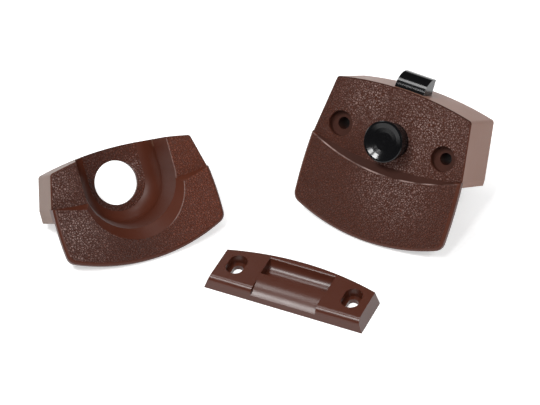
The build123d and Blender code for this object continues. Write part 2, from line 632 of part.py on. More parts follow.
def strike_plate():
    """A drafted bar with the bolt's pocket, the ramp up to it and two slotted screw holes."""
    body = strike_blank()
    above = STRIKE_HEIGHT + PAST
    far_y = POCKET_NEAR_Y + POCKET_WIDTH
    rim = POCKET_RIM_ROUND
    rim_middle = (far_y + rim * (1 - cos(pi / 4)), STRIKE_HEIGHT - rim * (1 - sin(pi / 4)))
    body -= across([
        ThreePointArc((POCKET_NEAR_Y, STRIKE_HEIGHT), ((POCKET_NEAR_Y + far_y) / 2, POCKET_FLOOR),
                      (far_y, STRIKE_HEIGHT - rim)),
        ThreePointArc((far_y, STRIKE_HEIGHT - rim), rim_middle, (far_y + rim, STRIKE_HEIGHT)),
        Polyline((far_y + rim, STRIKE_HEIGHT), (far_y + rim, above),
                 (POCKET_NEAR_Y, above), (POCKET_NEAR_Y, STRIKE_HEIGHT)),
    ], POCKET_LENGTH)
    rise = STRIKE_HEIGHT - RAMP_END_HEIGHT
    chord = sqrt(RAMP_TOP_Y ** 2 + rise ** 2)
    ramp_middle = (
        RAMP_TOP_Y / 2 - RAMP_BULGE * rise / chord,
        RAMP_END_HEIGHT + rise / 2 + RAMP_BULGE * RAMP_TOP_Y / chord,
    )
    body -= across([
        ThreePointArc((0, RAMP_END_HEIGHT), ramp_middle, (RAMP_TOP_Y, STRIKE_HEIGHT)),
        Polyline((RAMP_TOP_Y, STRIKE_HEIGHT), (RAMP_TOP_Y, above), (-PAST, above),
                 (-PAST, RAMP_END_HEIGHT), (0, RAMP_END_HEIGHT)),
    ], RAMP_LENGTH)
    for side in (-1, 1):
        x = side * STRIKE_SLOT_SPACING / 2
        body -= obround(STRIKE_SLOT_WIDTH, STRIKE_SLOT_LENGTH, x, STRIKE_SLOT_Y, STRIKE_SLOT_FLOOR, above)
        body -= obround(STRIKE_HOLE_WIDTH, STRIKE_HOLE_LENGTH, x, STRIKE_SLOT_Y, -PAST, STRIKE_HEIGHT)
    return body


def build_parts():
    """Every node's solid by name, placed where it lies."""
    parts = {
        "inner_housing": inner_pose * inner_housing(),
        "back_plate": inner_pose * back_plate(),
        "push_button": inner_pose * push_button(),
        "plunger_rod": inner_pose * plunger_rod(),
        "button_spring": inner_pose * button_spring(),
        "latch_bolt": inner_pose * latch_bolt(),
        "outer_housing": outer_pose * outer_housing(),
        "strike_plate": strike_pose * strike_plate(),
    }
    for number, side in enumerate((-1, 1), start=1):
        parts[f"bolt_spring_{number}"] = inner_pose * bolt_spring(side)
    for number, (x, y) in enumerate(plate_screw_places(), start=1):
        parts[f"back_plate_screw_{number}"] = inner_pose * back_plate_screw(x, y)
    return parts


os.makedirs("parts", exist_ok=True)
for name, solid in build_parts().items():
    solid.label = name
    export_step(solid, f"parts/{name}.step")
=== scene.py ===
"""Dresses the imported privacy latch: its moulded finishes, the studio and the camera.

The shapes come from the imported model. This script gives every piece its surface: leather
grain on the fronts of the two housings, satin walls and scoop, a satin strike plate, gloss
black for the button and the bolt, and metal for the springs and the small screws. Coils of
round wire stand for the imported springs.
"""
from __future__ import annotations

import json
import logging
import math
from dataclasses import dataclass
from enum import Enum

import bpy
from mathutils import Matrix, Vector

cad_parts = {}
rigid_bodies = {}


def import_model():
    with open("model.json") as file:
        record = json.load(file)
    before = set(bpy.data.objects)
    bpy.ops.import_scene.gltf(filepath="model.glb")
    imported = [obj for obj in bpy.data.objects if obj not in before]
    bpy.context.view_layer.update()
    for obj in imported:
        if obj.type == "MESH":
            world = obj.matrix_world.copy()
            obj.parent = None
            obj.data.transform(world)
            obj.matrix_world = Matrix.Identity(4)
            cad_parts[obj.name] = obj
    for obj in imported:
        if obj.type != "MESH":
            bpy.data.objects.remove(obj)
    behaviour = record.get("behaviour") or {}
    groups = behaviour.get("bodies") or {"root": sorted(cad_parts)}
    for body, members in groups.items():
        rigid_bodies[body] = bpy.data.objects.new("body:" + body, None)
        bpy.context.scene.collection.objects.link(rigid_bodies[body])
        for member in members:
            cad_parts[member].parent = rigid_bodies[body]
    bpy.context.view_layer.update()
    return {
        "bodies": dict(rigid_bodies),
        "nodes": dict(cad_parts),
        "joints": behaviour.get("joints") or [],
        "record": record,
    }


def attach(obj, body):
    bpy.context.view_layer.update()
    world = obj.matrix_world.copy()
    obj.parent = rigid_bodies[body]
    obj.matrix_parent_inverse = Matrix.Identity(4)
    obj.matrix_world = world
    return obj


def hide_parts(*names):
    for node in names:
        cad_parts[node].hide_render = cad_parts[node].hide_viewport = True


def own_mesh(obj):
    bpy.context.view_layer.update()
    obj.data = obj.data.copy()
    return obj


LOG = logging.getLogger("privacy_latch")
MM_PER_METRE = 1000.0
NODE_SPACING = 180

Point = tuple[float, float, float]
Colour = tuple[float, float, float]
Paint = tuple[float, float, float, float]
Socket = bpy.types.NodeSocket
Value = float | tuple[float, ...] | Socket


class Axis(Enum):
    """The three directions of a housing's own plate frame."""

    ACROSS = "Across"
    ALONG = "Along"
    OUT = "Out"


class Kind(Enum):
    """The kinds of socket that a shared effect takes or gives."""

    NUMBER = "NodeSocketFloat"
    VECTOR = "NodeSocketVector"


class Mixed(Enum):
    """What a Mix node mixes: its data type, the places of its two inputs and of its output."""

    NUMBERS = ("FLOAT", 2, 3, 0)
    COLOURS = ("RGBA", 6, 7, 2)


@dataclass(frozen=True)
class PlateFrame:
    """Where a piece's drawing frame lies in the model, for finishes that follow its faces.

    Args:
        origin: the frame's origin, in metres.
        across: unit vector across the plate.
        along: unit vector towards the bolt's end.
        out: unit vector out of the door.
    """

    origin: Point
    across: Point
    along: Point
    out: Point

    @staticmethod
    def tilted(origin: Point, turn: float, tilt: float) -> "PlateFrame":
        """A frame turned about the vertical and then tilted up about its own X.

        Args:
            origin: the frame's origin, in metres.
            turn: degrees about the vertical.
            tilt: degrees about the plate's own X.

        Returns:
            The plate's frame.
        """
        ct, st = math.cos(math.radians(turn)), math.sin(math.radians(turn))
        cp, sp = math.cos(math.radians(tilt)), math.sin(math.radians(tilt))
        return PlateFrame(origin, (ct, st, 0.0), (-st * cp, ct * cp, sp), (st * sp, -ct * sp, cp))

    def ways(self) -> dict[Axis, Vector]:
        """The frame's three unit vectors by name."""
        return {Axis.ACROSS: Vector(self.across), Axis.ALONG: Vector(self.along), Axis.OUT: Vector(self.out)}

    def place(self, point: Point) -> Vector:
        """Where a point of the plate is in the model.

        Args:
            point: millimetres across, along and out.

        Returns:
            The point in the model, in metres.
        """
        across, along, out = self.ways().values()
        offset = across * point[0] + along * point[1] + out * point[2]
        return Vector(self.origin) + offset / MM_PER_METRE

    def basis(self, towards: Axis) -> tuple[Vector, Vector, Vector]:
        """The three directions in turn, so that a given one comes last.

        Args:
            towards: the direction that comes last.

        Returns:
            Two directions across that one, and the one itself.
        """
        ways = list(self.ways().values())
        after = list(Axis).index(towards) + 1
        return tuple(ways[after:] + ways[:after])


# How the two housings stand on the floor, in the frames that they are drawn in.
INNER_FRAME = PlateFrame.tilted(origin=(0.0518, 0.0721, 0.0220363), turn=-29.65, tilt=56.2586)
OUTER_FRAME = PlateFrame.tilted(origin=(-0.0754, 0.0571, 0.0105571), turn=24.5, tilt=49.8674)


class Graph:
    """Places and joins shader nodes in one node tree."""

    def __init__(self, tree: bpy.types.NodeTree) -> None:
        """Keeps the tree and starts the row in which its nodes are laid out."""
        self.tree = tree
        self.column = 0

    def node(self, kind: str, settings: dict[str, str] | None = None, **inputs: Value) -> bpy.types.Node:
        """Adds a node and fills its inputs.

        Args:
            kind: the node's type name.
            settings: the node's own choices by name, such as its operation.
            **inputs: values or sockets by input name, with _ for a space.

        Returns:
            The new node.
        """
        made = self.tree.nodes.new(kind)
        made.location = (self.column, 0)
        self.column += NODE_SPACING
        for setting, choice in (settings or {}).items():
            setattr(made, setting, choice)
        for name, value in inputs.items():
            self.feed(made.inputs[name.replace("_", " ")], value)
        return made

    def feed(self, socket: Socket, value: Value) -> None:
        """Links a socket to an input, or sets the input's own value.

        Args:
            socket: the input.
            value: the socket or the value that it gets.
        """
        if isinstance(value, Socket):
            self.tree.links.new(value, socket)
        else:
            socket.default_value = value

    def math(self, operation: str, first: Value, second: Value = 0.0, third: Value = 0.0) -> Socket:
        """One Math node on up to three numbers.

        Args:
            operation: the node's operation.
            first: the first number.
            second: the second number, where the operation takes one.
            third: the third number, where the operation takes one.

        Returns:
            The result.
        """
        made = self.node("ShaderNodeMath", {"operation": operation})
        for socket, value in zip(made.inputs, (first, second, third)):
            self.feed(socket, value)
        return made.outputs[0]

    def times(self, first: Value, *others: Value) -> Socket:
        """The product of some numbers.

        Args:
            first: the first number.
            *others: the numbers that it is multiplied by.

        Returns:
            The product.
        """
        product = first
        for other in others:
            product = self.math("MULTIPLY", product, other)
        return product

    def distance(self, sideways: Socket, lengthways: Socket) -> Socket:
        """How far a point is from another, from its offsets in two directions."""
        squares = self.math("ADD", self.times(sideways, sideways), self.times(lengthways, lengthways))
        return self.math("SQRT", squares)

    def ramp(self, value: Value, low: float, high: float) -> Socket:
        """A smooth step.

        Args:
            value: the number that runs through the step.
            low: where the step is still 0.
            high: where it has reached 1; below low, the step falls instead.

        Returns:
            A number from 0 to 1.
        """
        smooth = {"interpolation_type": "SMOOTHSTEP"}
        made = self.node("ShaderNodeMapRange", smooth, Value=value, From_Min=low, From_Max=high)
        return made.outputs["Result"]

    def span(self, value: Value, low: Value, high: Value) -> Socket:
        """A number from 0 to 1 spread over the range low to high."""
        made = self.node("ShaderNodeMapRange", Value=value, To_Min=low, To_Max=high)
        return made.outputs["Result"]

    def dot(self, vector: Socket, direction: Point) -> Socket:
        """How far a vector reaches along a fixed direction.

        Args:
            vector: the vector.
            direction: a unit vector.

        Returns:
            The length along it.
        """
        made = self.node("ShaderNodeVectorMath", {"operation": "DOT_PRODUCT"})
        self.feed(made.inputs[0], vector)
        self.feed(made.inputs[1], direction)
        return made.outputs["Value"]

    def millimetres(self, place: Socket) -> Socket:
        """A place in metres, turned into millimetres.

        Args:
            place: the place in metres.

        Returns:
            The same place in millimetres.
        """
        made = self.node("ShaderNodeVectorMath", {"operation": "SCALE"}, Scale=MM_PER_METRE)
        self.feed(made.inputs[0], place)
        return made.outputs[0]

    def mix(self, kind: Mixed, factor: Value, first: Value, second: Value) -> Socket:
        """One Mix node on two numbers or two colours.

        Args:
            kind: what is mixed.
            factor: 0 for the first, 1 for the second.
            first: the first number or colour.
            second: the second number or colour.

        Returns:
            The mixture.
        """
        data_type, first_input, second_input, output = kind.value
        made = self.node("ShaderNodeMix", {"data_type": data_type}, Factor=factor)
        self.feed(made.inputs[first_input], first)
        self.feed(made.inputs[second_input], second)
        return made.outputs[output]

    def blend(self, factor: Value, first: Value, second: Value) -> Socket:
        """A colour between two colours."""
        return self.mix(Mixed.COLOURS, factor, first, second)

    def between(self, factor: Value, first: Value, second: Value) -> Socket:
        """A number between two numbers."""
        return self.mix(Mixed.NUMBERS, factor, first, second)

    def noise(self, vector: Socket, scale: Value, detail: float = 2.0, rough: float = 0.5) -> Socket:
        """A noise value at a position in millimetres.

        Args:
            vector: the position.
            scale: how many features a millimetre has.
            detail: how many finer layers are added.
            rough: how strong the finer layers are.

        Returns:
            A number about 0.5.
        """
        made = self.node("ShaderNodeTexNoise", Vector=vector, Scale=scale, Detail=detail, Roughness=rough)
        return made.outputs["Fac"]

    def bump(self, height: Socket, strength: float, distance: float) -> Socket:
        """The normal of a surface that has some relief.

        Args:
            height: the relief.
            strength: how much of it shows, from 0 to 1.
            distance: how high a relief of 1 stands, in metres.

        Returns:
            The normal.
        """
        made = self.node("ShaderNodeBump", Height=height, Strength=strength, Distance=distance)
        return made.outputs["Normal"]


class EffectGroup:
    """A shader effect that several finishes share, kept as one node group.

    An effect has a name, the inputs that it takes (label, kind and value, which only a number
    has) and the outputs that it gives (label and kind).
    """

    name = "Effect"
    takes: tuple[tuple[str, Kind, float], ...] = ()
    gives: tuple[tuple[str, Kind], ...] = ()

    def tree(self) -> bpy.types.NodeTree:
        """The effect as a node group, built the first time it is asked for.

        Returns:
            The group.
        """
        known = bpy.data.node_groups.get(self.name)
        if known is not None:
            return known
        made = bpy.data.node_groups.new(self.name, "ShaderNodeTree")
        for label, kind, value in self.takes:
            socket = made.interface.new_socket(label, in_out="INPUT", socket_type=kind.value)
            if kind is Kind.NUMBER:
                socket.default_value = value
        for label, kind in self.gives:
            made.interface.new_socket(label, in_out="OUTPUT", socket_type=kind.value)
        source = made.nodes.new("NodeGroupInput")
        target = made.nodes.new("NodeGroupOutput")
        self.build(Graph(made), source, target)
        return made

    def build(self, graph: Graph, source: bpy.types.Node, target: bpy.types.Node) -> None:
        """Fills the group; each effect has its own."""
        raise NotImplementedError

    def place(self, graph: Graph, **inputs: Value) -> bpy.types.Node:
        """Places the group in a material.

        Args:
            graph: the material's node graph.
            **inputs: values or sockets by input name, with _ for a space.

        Returns:
            The group's node in that material.
        """
        made = graph.node("ShaderNodeGroup")
        made.node_tree = self.tree()
        for name, value in inputs.items():
            graph.feed(made.inputs[name.replace("_", " ")], value)
        return made


class LeatherGrain(EffectGroup):
    """Moulded leather grain: small pebbles with creases between them, in two sizes.

    Pebble is the size of a pebble in millimetres, and Wander is how far the pebbles are pushed
    out of their places, in millimetres. Height is the relief, Crease the low lines between the
    pebbles, which the finish darkens as painted shade, Glint some of the pebble tops, which it
    lightens as painted highlights, and Patch a slow unevenness. The scales are features in a
    millimetre. The fine density is how many fine bumps a pebble's width has, and the two heights
    are how much the fine bumps and the pebbles themselves add to the relief.
    """

    name = "Leather grain"
    takes = (
        ("Position", Kind.VECTOR, 0.0),
        ("Pebble", Kind.NUMBER, 0.9),
        ("Wander", Kind.NUMBER, 0.4),
    )
    gives = (
        ("Height", Kind.NUMBER),
        ("Crease", Kind.NUMBER),
        ("Glint", Kind.NUMBER),
        ("Patch", Kind.NUMBER),
    )
    warp_scale = 0.9
    fine_density = 1.5
    fine_height = 0.55
    crown_height = 0.6
    patch_scale = 0.12

    def build(self, graph: Graph, source: bpy.types.Node, target: bpy.types.Node) -> None:
        """Joins pushed cells and a finer noise into the relief and its masks.

        Args:
            graph: the group's node graph.
            source: the group's inputs.
            target: the group's outputs.
        """
        place = source.outputs["Position"]
        warped = self.warped(graph, place, source.outputs["Wander"])
        density = graph.math("DIVIDE", 1.0, source.outputs["Pebble"])
        edges = {"feature": "DISTANCE_TO_EDGE"}
        cells = graph.node("ShaderNodeTexVoronoi", edges, Vector=warped, Scale=density)
        crown = graph.ramp(cells.outputs["Distance"], low=0.04, high=0.26)
        fine = graph.noise(warped, graph.times(density, self.fine_density))
        height = graph.math("MULTIPLY_ADD", fine, self.fine_height, graph.times(crown, self.crown_height))
        graph.feed(target.inputs["Height"], height)
        # The finish paints shade into the creases and painted highlights onto the glinting tops.
        graph.feed(target.inputs["Crease"], graph.math("SUBTRACT", 1.0, crown))
        graph.feed(target.inputs["Glint"], graph.times(graph.ramp(fine, low=0.36, high=0.58), crown))
        graph.feed(target.inputs["Patch"], graph.noise(place, self.patch_scale))

    def warped(self, graph: Graph, place: Socket, wander: Socket) -> Socket:
        """The position, pushed about by a noise.

        Args:
            graph: the group's node graph.
            place: the position in millimetres.
            wander: how far it is pushed, in millimetres.

        Returns:
            The pushed position.
        """
        warp = graph.node("ShaderNodeTexNoise", Vector=place, Scale=self.warp_scale)
        reach = graph.node("ShaderNodeCombineXYZ", X=wander, Y=wander, Z=wander)
        shift = graph.node("ShaderNodeVectorMath", {"operation": "MULTIPLY_ADD"})
        for socket, value in zip(shift.inputs, (warp.outputs["Color"], reach.outputs[0], place)):
            graph.feed(socket, value)
        return shift.outputs[0]


class SurfaceVariety(EffectGroup):
    """Slow cloudiness, rare specks and a fine ripple that keep a smooth surface from looking flat.

    The two sizes are in millimetres, and the ripple's scale is features in a millimetre.
    """

    name = "Surface variety"
    takes = (
        ("Position", Kind.VECTOR, 0.0),
        ("Cloud size", Kind.NUMBER, 12.0),
        ("Speck size", Kind.NUMBER, 0.35),
    )
    gives = (("Cloud", Kind.NUMBER), ("Speck", Kind.NUMBER), ("Ripple", Kind.NUMBER))
    ripple_scale = 1.4

    def build(self, graph: Graph, source: bpy.types.Node, target: bpy.types.Node) -> None:
        """Makes each output from a noise of its own size.

        Args:
            graph: the group's node graph.
            source: the group's inputs.
            target: the group's outputs.
        """
        place = source.outputs["Position"]
        cloud_scale = graph.math("DIVIDE", 1.0, source.outputs["Cloud size"])
        speck_scale = graph.math("DIVIDE", 1.0, source.outputs["Speck size"])
        specks = graph.noise(place, speck_scale, detail=1.0)
        graph.feed(target.inputs["Cloud"], graph.noise(place, cloud_scale, detail=3.0, rough=0.55))
        graph.feed(target.inputs["Speck"], graph.ramp(specks, low=0.66, high=0.78))
        graph.feed(target.inputs["Ripple"], graph.noise(place, self.ripple_scale, detail=3.0, rough=0.6))


class PlateCoordinates(EffectGroup):
    """Position in a plate's own frame in millimetres, and how a face is turned in that frame.

    Facing is how squarely a face looks out of the door, and Upward how squarely it looks
    towards the bolt's end, each from -1 to 1.
    """

    gives = (
        ("Position", Kind.VECTOR),
        ("Across", Kind.NUMBER),
        ("Along", Kind.NUMBER),
        ("Out", Kind.NUMBER),
        ("Facing", Kind.NUMBER),
        ("Upward", Kind.NUMBER),
    )

    def __init__(self, name: str, frame: PlateFrame) -> None:
        """Keeps the frame whose coordinates the group gives."""
        self.name = f"{name} coordinates"
        self.frame = frame

    def build(self, graph: Graph, source: bpy.types.Node, target: bpy.types.Node) -> None:
        """Turns object coordinates and normals into the plate's frame.

        Args:
            graph: the group's node graph.
            source: the group's inputs, of which it has none.
            target: the group's outputs.
        """
        where = graph.node("ShaderNodeTexCoord")
        offset = graph.node("ShaderNodeVectorMath", {"operation": "SUBTRACT"})
        graph.feed(offset.inputs[0], where.outputs["Object"])
        graph.feed(offset.inputs[1], self.frame.origin)
        place = graph.millimetres(offset.outputs[0])
        graph.feed(target.inputs["Position"], place)
        for axis, way in self.frame.ways().items():
            graph.feed(target.inputs[axis.value], graph.dot(place, tuple(way)))
        graph.feed(target.inputs["Facing"], graph.dot(where.outputs["Normal"], self.frame.out))
        graph.feed(target.inputs["Upward"], graph.dot(where.outputs["Normal"], self.frame.along))


def opaque(colour: Colour, share: float = 1.0) -> Paint:
    """A colour as a shader takes it, made lighter or darker by a share."""
    return tuple(channel * share for channel in colour) + (1.0,)


@dataclass(frozen=True)
class Finish:
    """What every finish has.

    Args:
        name: the material's name.
        colour: its main colour.
        roughness: its roughness, from 0 to 1.
    """

    name: str
    colour: Colour
    roughness: float

    def material(self) -> bpy.types.Material:
        """The finish as a node material, built the first time it is asked for.

        Returns:
            The material.
        """
        known = bpy.data.materials.get(self.name)
        if known is not None:
            return known
        made = bpy.data.materials.new(self.name)
        made.use_nodes = True
        made.node_tree.nodes.clear()
        graph = Graph(made.node_tree)
        shader = graph.node("ShaderNodeBsdfPrincipled", Roughness=self.roughness)
        graph.node("ShaderNodeOutputMaterial", Surface=shader.outputs["BSDF"])
        self.dress(graph, shader)
        return made

    def dress(self, graph: Graph, shader: bpy.types.Node) -> None:
        """Adds the finish's own nodes; each finish has its own."""
        raise NotImplementedError

    def paint(self, share: float = 1.0) -> Paint:
        """The finish's colour, made lighter or darker by a share."""
        return opaque(self.colour, share)


@dataclass(frozen=True)
class SheenPatch:
    """A round patch of a plate where the grain gets stronger painted highlights and a lower roughness.

    Args:
        across: its middle across the plate, in millimetres.
        along: its middle along the plate, in millimetres.
        radius: where it has faded out, in millimetres.
    """

    across: float
    along: float
    radius: float

    def mask(self, graph: Graph, plate: bpy.types.Node) -> Socket:
        """The patch as a mask.

        Args:
            graph: the material's node graph.
            plate: the plate's coordinates.

        Returns:
            1 in its middle, 0 at its radius.
        """
        sideways = graph.math("SUBTRACT", plate.outputs["Across"], self.across)
        lengthways = graph.math("SUBTRACT", plate.outputs["Along"], self.along)
        return graph.ramp(graph.distance(sideways, lengthways), low=self.radius, high=0.0)


@dataclass(frozen=True)
class LipCrest:
    """The lip's upper edge, a curve that is lowest in the middle, with a painted highlight along it.

    Args:
        lowest: how far along the plate its lowest point is, in millimetres.
        rise: how much higher it is at its ends, in millimetres.
        half_width: how far its ends are from the plate's middle, in millimetres.
        height: how far out of the door the line has reached its full strength, in millimetres.
    """

    lowest: float
    rise: float
    half_width: float
    height: float = 28.3

    def mask(self, graph: Graph, plate: bpy.types.Node, drift: Socket) -> Socket:
        """The painted highlight line as a mask.

        Args:
            graph: the material's node graph.
            plate: the plate's coordinates.
            drift: a slow noise that breaks the line up.

        Returns:
            1 on the line, 0 beside it.
        """
        share = graph.math("DIVIDE", plate.outputs["Across"], self.half_width)
        line = graph.math("MULTIPLY_ADD", graph.times(share, share), self.rise, self.lowest)
        gap = graph.math("ABSOLUTE", graph.math("SUBTRACT", plate.outputs["Along"], line))
        thin = graph.ramp(gap, low=0.38, high=0.12)
        # It comes in over the last 0.4 mm below its height.
        standing = graph.ramp(plate.outputs["Out"], low=self.height - 0.4, high=self.height)
        return graph.times(thin, standing, graph.ramp(drift, low=0.36, high=0.62))


@dataclass(frozen=True)
class ScoopRim:
    """The scoop's right edge, with a painted highlight along it.

    Args:
        middle: how far across the plate the scoop's middle is, in millimetres.
        radius: the scoop's radius at the face, in millimetres.
        face: the height of that face, in millimetres.
        flare: how much the radius grows for each millimetre of height.
    """

    middle: float
    radius: float
    face: float
    flare: float = 0.85

    def mask(self, graph: Graph, plate: bpy.types.Node, drift: Socket) -> Socket:
        """The painted highlight line as a mask.

        Args:
            graph: the material's node graph.
            plate: the plate's coordinates.
            drift: a slow noise that makes the line uneven.

        Returns:
            1 on the line, 0 beside it and on the scoop's left.
        """
        sideways = graph.math("SUBTRACT", plate.outputs["Across"], self.middle)
        down = graph.math("MINIMUM", plate.outputs["Along"], 0.0)
        at_zero = self.radius - self.flare * self.face
        radius = graph.math("MULTIPLY_ADD", plate.outputs["Out"], self.flare, at_zero)
        gap = graph.math("ABSOLUTE", graph.math("SUBTRACT", graph.distance(sideways, down), radius))
        thin = graph.ramp(gap, low=0.5, high=0.2)
        right = graph.ramp(plate.outputs["Across"], low=9.0, high=15.0)
        return graph.times(thin, right, graph.span(drift, low=0.2, high=0.8))


@dataclass(frozen=True)
class Surface:
    """The nodes and masks that feed the shader of a grained moulding.

    Args:
        plate: the plate's coordinates.
        grain: the leather grain.
        variety: the slow cloudiness and the fine ripple.
        square: 1 on faces that look squarely out of the door.
        grained: 1 on those of them that carry the grain.
        outside: 1 on the box's outside walls, which are painted paler as painted light.
        deep: how much painted shade and extra roughness a recess or a cove gets, from 0 to 1.
        sheen: how strong the grain's painted highlights are and how low its roughness, from 0 to 1.
    """

    plate: bpy.types.Node
    grain: bpy.types.Node
    variety: bpy.types.Node
    square: Socket
    grained: Socket
    outside: Socket
    deep: Socket
    sheen: Socket


@dataclass(frozen=True)
class MouldedBrown(Finish):
    """Brown plastic: leather grain on the faces that look out, and round them smooth walls lightened with
    painted light.

    Lengths are in millimetres in the plate's frame, unless they say otherwise, and shares are
    of the finish's own colour. The colour holds painted light and shade: painted shade in creases,
    recesses and the cove, painted highlights on the grain and its edges, and painted light on the
    outside walls and towards the face's right side.

    Args:
        frame: the plate's frame.
        deep_below: height below which recesses get painted shade and lose the grain.
        wall_across: how far from the middle the outside walls begin at the sides.
        wall_up: how far along the plate the outside wall begins at the top.
        lip_underside: height of the lip's underside; its edges above that are as dark as its face.
        lip_start: how far along the plate the lip starts.
        patches: where the grain's painted highlights are strongest and its roughness lowest.
        crest: the lip's edge with its painted highlight, if it shows; the cove above it then gets painted
            shade.
        rim: the scoop's edge with its painted highlight, if it has one.
        wall: colour of the outside walls, painted paler than the faces as painted light.
        glint: colour of the painted highlights on the tops of the grain and along the bright edges.
        cloud_shares: the darkest and the lightest share of the cloudy colour.
        side_light: painted light that makes the grained face lighter towards its right side, as a share.
        side_light_across: where across the plate that painted light starts and where it is complete.
        smooth_side_light: how much of the painted light the smooth surfaces get.
        facing_from: how squarely a face must look out before the grain starts.
        pebble: size of one pebble of the grain.
        wander: how far the pebbles are pushed out of their places.
        crease_cover: how much the painted shade in the creases covers the colour.
        crease_share: how dark the painted shade in the creases is, as a share.
        recess_cover: how much painted shade and roughness a recess gets beside a cove, where there is a
            crest.
        deep_share: how dark the painted shade in recesses and coves is, as a share.
        deep_roughness: how much rougher they are.
        sheen_least: how strong the grain's painted highlights and low roughness are away from the patches.
        sheen_gain: how much stronger they are in the middle of a patch.
        ripple: height of the fine ripple, as a part of the grain's.
        relief: height of the grain, in metres.
        specular: the shader's specular level.
    """

    frame: PlateFrame
    deep_below: float
    wall_across: float
    wall_up: float
    lip_underside: float
    lip_start: float
    patches: tuple[SheenPatch, ...]
    crest: LipCrest | None = None
    rim: ScoopRim | None = None
    # Painted light: the walls' colour is paler than the faces'; glint colours the painted highlights.
    wall: Colour = (0.22, 0.096, 0.058)
    glint: Colour = (0.32, 0.22, 0.198)
    cloud_shares: tuple[float, float] = (0.9, 1.12)
    # Painted light: the face is painted lighter towards its right side.
    side_light: float = 0.0
    side_light_across: tuple[float, float] = (-8.0, 30.0)
    smooth_side_light: float = 0.2
    facing_from: float = 0.965
    pebble: float = 0.95
    wander: float = 0.8
    crease_cover: float = 0.55
    crease_share: float = 0.35
    recess_cover: float = 0.7
    deep_share: float = 0.5
    deep_roughness: float = 0.35
    # Painted highlights on the grain: their strength away from the patches and the gain within them.
    sheen_least: float = 0.05
    sheen_gain: float = 0.86
    ripple: float = 0.05
    relief: float = 0.00036
    specular: float = 0.24

    def dress(self, graph: Graph, shader: bpy.types.Node) -> None:
        """Grain where the face looks out, satin with a faint ripple everywhere else.

        Args:
            graph: the material's node graph.
            shader: the material's shader.
        """
        surface = self.surface(graph)
        graph.feed(shader.inputs["Base Color"], self.tone(graph, surface))
        graph.feed(shader.inputs["Roughness"], self.dullness(graph, surface))
        graph.feed(shader.inputs["Normal"], self.normal(graph, surface))
        shader.inputs["Specular IOR Level"].default_value = self.specular

    def surface(self, graph: Graph) -> Surface:
        """Places the shared effects and works out the masks.

        Args:
            graph: the material's node graph.

        Returns:
            The effects and the masks.
        """
        plate = PlateCoordinates(self.name, self.frame).place(graph)
        place = plate.outputs["Position"]
        grain = LeatherGrain().place(graph, Position=place, Pebble=self.pebble, Wander=self.wander)
        # What is added to a bound is how soft the mask's edge is.
        square = graph.ramp(plate.outputs["Facing"], low=self.facing_from, high=self.facing_from + 0.02)
        high = graph.ramp(plate.outputs["Out"], low=self.deep_below, high=self.deep_below + 0.5)
        outside = self.outside(graph, plate)
        return Surface(
            plate=plate,
            grain=grain,
            variety=SurfaceVariety().place(graph, Position=place),
            square=square,
            grained=graph.times(square, high),
            outside=outside,
            deep=self.deep(graph, plate, graph.math("MAXIMUM", high, outside)),
            sheen=self.sheen(graph, plate, grain.outputs["Patch"]),
        )

    def outside(self, graph: Graph, plate: bpy.types.Node) -> Socket:
        """Where a surface is an outside wall that gets painted light, with soft edges of 0.3 to 0.6 mm.

        Args:
            graph: the material's node graph.
            plate: the plate's coordinates.

        Returns:
            A mask.
        """
        sideways = graph.math("SUBTRACT", graph.math("ABSOLUTE", plate.outputs["Across"]), self.wall_across)
        upwards = graph.math("SUBTRACT", plate.outputs["Along"], self.wall_up)
        far = graph.ramp(graph.math("MAXIMUM", sideways, upwards), low=0.0, high=0.6)
        edgeways = graph.ramp(graph.math("ABSOLUTE", plate.outputs["Facing"]), low=0.28, high=0.08)
        below = graph.ramp(plate.outputs["Out"], low=self.lip_underside, high=self.lip_underside - 0.3)
        above = graph.ramp(plate.outputs["Along"], low=self.lip_start, high=self.lip_start + 0.4)
        return graph.times(far, edgeways, graph.math("MAXIMUM", below, above))

    def deep(self, graph: Graph, plate: bpy.types.Node, open_air: Socket) -> Socket:
        """How much painted shade and extra roughness recesses get, and with a crest the cove above it.

        Args:
            graph: the material's node graph.
            plate: the plate's coordinates.
            open_air: 1 on surfaces that are in no recess.

        Returns:
            A mask.
        """
        recess = graph.math("SUBTRACT", 1.0, open_air)
        if self.crest is None:
            return recess
        upward = graph.ramp(plate.outputs["Upward"], low=0.08, high=0.2)
        cove = graph.times(upward, graph.ramp(plate.outputs["Facing"], low=0.3, high=0.5))
        return graph.math("MAXIMUM", cove, graph.times(recess, self.recess_cover))

    def sheen(self, graph: Graph, plate: bpy.types.Node, drift: Socket) -> Socket:
        """The grain's painted highlights and lower roughness: most in the patches, a little everywhere else.

        Args:
            graph: the material's node graph.
            plate: the plate's coordinates.
            drift: a slow noise that makes it uneven.

        Returns:
            A mask.
        """
        amount = 0.0
        for patch in self.patches:
            amount = graph.math("MAXIMUM", amount, patch.mask(graph, plate))
        most = graph.math("MULTIPLY_ADD", amount, self.sheen_gain, self.sheen_least)
        return graph.times(most, graph.span(drift, low=0.55, high=1.0))

    def tone(self, graph: Graph, surface: Surface) -> Socket:
        """The colour: cloudy brown, then painted light, shade and highlights, and the paler walls over it.

        Args:
            graph: the material's node graph.
            surface: the effects and the masks.

        Returns:
            The colour.
        """
        grain, drift = surface.grain, surface.grain.outputs["Patch"]
        darkest, lightest = self.cloud_shares
        tone = graph.blend(surface.variety.outputs["Cloud"], self.paint(darkest), self.paint(lightest))
        # Painted light: lighter towards the plate's right side.
        tone = graph.blend(self.side_lit(graph, surface), tone, self.paint(1.0 + self.side_light))
        # Painted shade in the creases between the pebbles.
        creased = graph.times(grain.outputs["Crease"], surface.grained, self.crease_cover)
        tone = graph.blend(creased, tone, self.paint(self.crease_share))
        # Painted highlights on the tops of the grain, strongest in the patches.
        bright = graph.times(grain.outputs["Glint"], surface.grained, surface.sheen)
        tone = graph.blend(bright, tone, opaque(self.glint))
